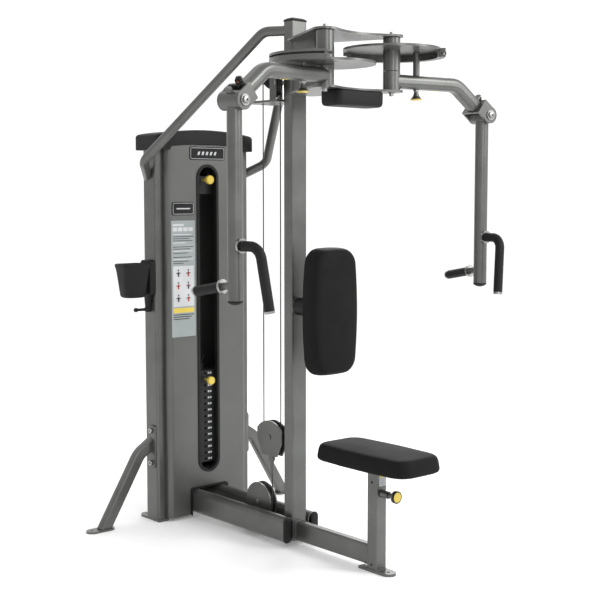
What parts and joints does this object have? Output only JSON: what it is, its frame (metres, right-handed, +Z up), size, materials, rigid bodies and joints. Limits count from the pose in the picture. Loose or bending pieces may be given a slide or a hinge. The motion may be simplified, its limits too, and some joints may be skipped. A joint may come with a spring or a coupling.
{
  "type": "pec deck machine",
  "caption": "Seated chest fly machine with swinging press arms, cam and cable drive, shrouded weight stack, back pad and height-adjustable seat.",
  "frame": {"origin": "centre of the bounding box seen from above, at floor level", "axes": "+Z up; +Y from the seat towards the weight tower; +X to the right of a person looking along +Y"},
  "size_m": [1.2896, 1.4329, 2.03],
  "materials": {
    "frame_paint": "metallic grey powder coat, satin",
    "shroud_paint": "metallic grey powder coat on sheet steel, satin",
    "black_paint": "black powder coat, satin",
    "stack_paint": "black painted steel, low sheen",
    "polished_steel": "bright plated steel",
    "zinc_steel": "dull dark plated steel",
    "steel_cable": "black coated steel cable, satin",
    "black_plastic": "textured black plastic",
    "wheel_plastic": "moulded black nylon",
    "black_rubber": "black rubber, matte",
    "upholstery": "black grained upholstery over foam",
    "yellow_plastic": "yellow moulded plastic",
    "label_face": "printed plates, black and pale grey-blue"
  },
  "bodies": {
    "frame": {"upright": "frame_paint", "end_caps": "black_plastic", "base_beams": "frame_paint", "panel_trim": "black_plastic", "seat_beam": "frame_paint", "seat_post": "frame_paint", "pad_mount": "black_paint", "back_pad": "upholstery", "tower_frame": "frame_paint", "front_shroud": "shroud_paint", "rear_cover": "shroud_paint", "tower_cap": "black_plastic", "nameplates": "label_face", "guide_rods": "polished_steel", "stack_cushions": "black_rubber", "resting_plates": "stack_paint", "addon_weight": "stack_paint", "side_legs": "frame_paint", "frame_bolts": "polished_steel", "braces": "frame_paint", "storage_bin": "black_plastic", "pivot_frame": "frame_paint", "pivot_shafts": "polished_steel", "head_guard": "black_rubber", "pulley_brackets": "frame_paint", "pulley_axles": "polished_steel", "fixed_cables": "steel_cable"},
    "left_cam": {"left_cam": "frame_paint"},
    "right_cam": {"right_cam": "frame_paint"},
    "left_arm": {"left_arm": "frame_paint", "left_knuckle_pin": "polished_steel", "left_stops": "black_rubber"},
    "right_arm": {"right_arm": "frame_paint", "right_knuckle_pin": "polished_steel", "right_stops": "black_rubber"},
    "left_forearm": {"left_forearm": "frame_paint", "left_collars": "polished_steel", "left_grips": "black_rubber"},
    "right_forearm": {"right_forearm": "frame_paint", "right_collars": "polished_steel", "right_grips": "black_rubber"},
    "left_pull_pin": {"left_pull_pin": "zinc_steel"},
    "right_pull_pin": {"right_pull_pin": "zinc_steel"},
    "floating": {"floating_cheeks": "frame_paint", "floating_wrap": "steel_cable", "drop_cables": "steel_cable", "lift_cable": "steel_cable"},
    "floating_wheel": {"floating_wheel": "wheel_plastic"},
    "lower_wheel": {"lower_wheel": "wheel_plastic"},
    "upper_left_wheel": {"upper_left_wheel": "wheel_plastic"},
    "upper_right_wheel": {"upper_right_wheel": "wheel_plastic"},
    "tower_top_wheel": {"tower_top_wheel": "wheel_plastic"},
    "tower_base_wheel": {"tower_base_wheel": "wheel_plastic"},
    "lifted": {"lifted_plates": "stack_paint", "stack_cable": "steel_cable"},
    "selector_pin": {"selector_pin": "yellow_plastic"},
    "addon_knob": {"addon_knob": "yellow_plastic"},
    "seat": {"seat_carriage": "frame_paint", "seat_pad": "upholstery"},
    "seat_pull_pin": {"seat_pull_pin": "yellow_plastic"}
  },
  "joints": [
    {"name": "left_cam_turn", "type": "hinge", "parent": "frame", "child": "left_cam", "pos_m": [-0.163, -0.383, 1.87], "axis": [0, 0, 1], "range_deg": [0, 60]},
    {"name": "right_cam_turn", "type": "hinge", "parent": "frame", "child": "right_cam", "pos_m": [0.163, -0.383, 1.87], "axis": [0, 0, 1], "range_deg": [-60, 0]},
    {"name": "left_arm_index", "type": "hinge", "parent": "left_cam", "child": "left_arm", "pos_m": [-0.163, -0.383, 1.778], "axis": [0, 0, 1], "range_deg": [-20, 20]},
    {"name": "right_arm_index", "type": "hinge", "parent": "right_cam", "child": "right_arm", "pos_m": [0.163, -0.383, 1.778], "axis": [0, 0, 1], "range_deg": [-20, 20]},
    {"name": "left_forearm_swing", "type": "hinge", "parent": "left_arm", "child": "left_forearm", "pos_m": [-0.60419, -0.43717, 1.669], "axis": [-0.1219, 0.9925, 0], "range_deg": [-20, 12]},
    {"name": "right_forearm_swing", "type": "hinge", "parent": "right_arm", "child": "right_forearm", "pos_m": [0.60419, -0.43717, 1.669], "axis": [0.1219, 0.9925, 0], "range_deg": [-12, 20]},
    {"name": "left_pin_pull", "type": "slide", "parent": "left_arm", "child": "left_pull_pin", "axis": [0, 0, -1], "range_m": [0, 0.012], "stiffness_N_per_m": 1500, "springref_m": -0.01},
    {"name": "right_pin_pull", "type": "slide", "parent": "right_arm", "child": "right_pull_pin", "axis": [0, 0, -1], "range_m": [0, 0.012], "stiffness_N_per_m": 1500, "springref_m": -0.01},
    {"name": "floating_lift", "type": "slide", "parent": "frame", "child": "floating", "axis": [0, 0, 1], "range_m": [0, 0.194], "deforming": ["drop_cables", "lift_cable"]},
    {"name": "floating_wheel_spin", "type": "hinge", "parent": "floating", "child": "floating_wheel", "pos_m": [0, 0.111, 0.403], "axis": [1, 0, 0], "continuous": true},
    {"name": "lower_wheel_spin", "type": "hinge", "parent": "frame", "child": "lower_wheel", "pos_m": [0, 0.18, 0.131], "axis": [1, 0, 0], "range_deg": [-161, 0]},
    {"name": "upper_left_spin", "type": "hinge", "parent": "frame", "child": "upper_left_wheel", "pos_m": [-0.03439, 0.0217, 1.788], "axis": [0.7259, -0.6878, 0], "range_deg": [0, 222.1]},
    {"name": "upper_right_spin", "type": "hinge", "parent": "frame", "child": "upper_right_wheel", "pos_m": [0.02904, 0.1233, 1.826], "axis": [-0.8141, -0.5808, 0], "range_deg": [-222.1, 0]},
    {"name": "tower_top_spin", "type": "hinge", "parent": "frame", "child": "tower_top_wheel", "pos_m": [0, 0.6505, 1.56], "axis": [1, 0, 0], "range_deg": [-274.2, 0]},
    {"name": "tower_base_spin", "type": "hinge", "parent": "frame", "child": "tower_base_wheel", "pos_m": [0, 0.6505, 0.1025], "axis": [1, 0, 0], "range_deg": [-274.2, 0]},
    {"name": "stack_lift", "type": "slide", "parent": "frame", "child": "lifted", "axis": [0, 0, 1], "range_m": [0, 0.194], "deforming": ["stack_cable"]},
    {"name": "selector_pull", "type": "slide", "parent": "lifted", "child": "selector_pin", "axis": [0, -1, 0], "range_m": [0, 0.05]},
    {"name": "addon_pull", "type": "slide", "parent": "frame", "child": "addon_knob", "axis": [0, -1, 0], "range_m": [0, 0.03]},
    {"name": "seat_height", "type": "slide", "parent": "frame", "child": "seat", "axis": [0, 0, 1], "range_m": [0, 0.114]},
    {"name": "seat_pin_pull", "type": "slide", "parent": "frame", "child": "seat_pull_pin", "axis": [0, -1, 0], "range_m": [0, 0.012], "stiffness_N_per_m": 1500, "springref_m": -0.01}
  ],
  "couplings": [
    {"joint": "right_cam_turn", "follows": "left_cam_turn", "ratio": -1},
    {"joint": "floating_lift", "follows": "left_cam_turn", "m_per_rad": 0.185},
    {"joint": "stack_lift", "follows": "left_cam_turn", "m_per_rad": 0.185},
    {"joint": "upper_left_spin", "follows": "left_cam_turn", "ratio": 3.7},
    {"joint": "upper_right_spin", "follows": "left_cam_turn", "ratio": -3.7},
    {"joint": "lower_wheel_spin", "follows": "left_cam_turn", "ratio": -2.6812},
    {"joint": "tower_base_spin", "follows": "left_cam_turn", "ratio": -4.5679},
    {"joint": "tower_top_spin", "follows": "left_cam_turn", "ratio": -4.5679}
  ]
}
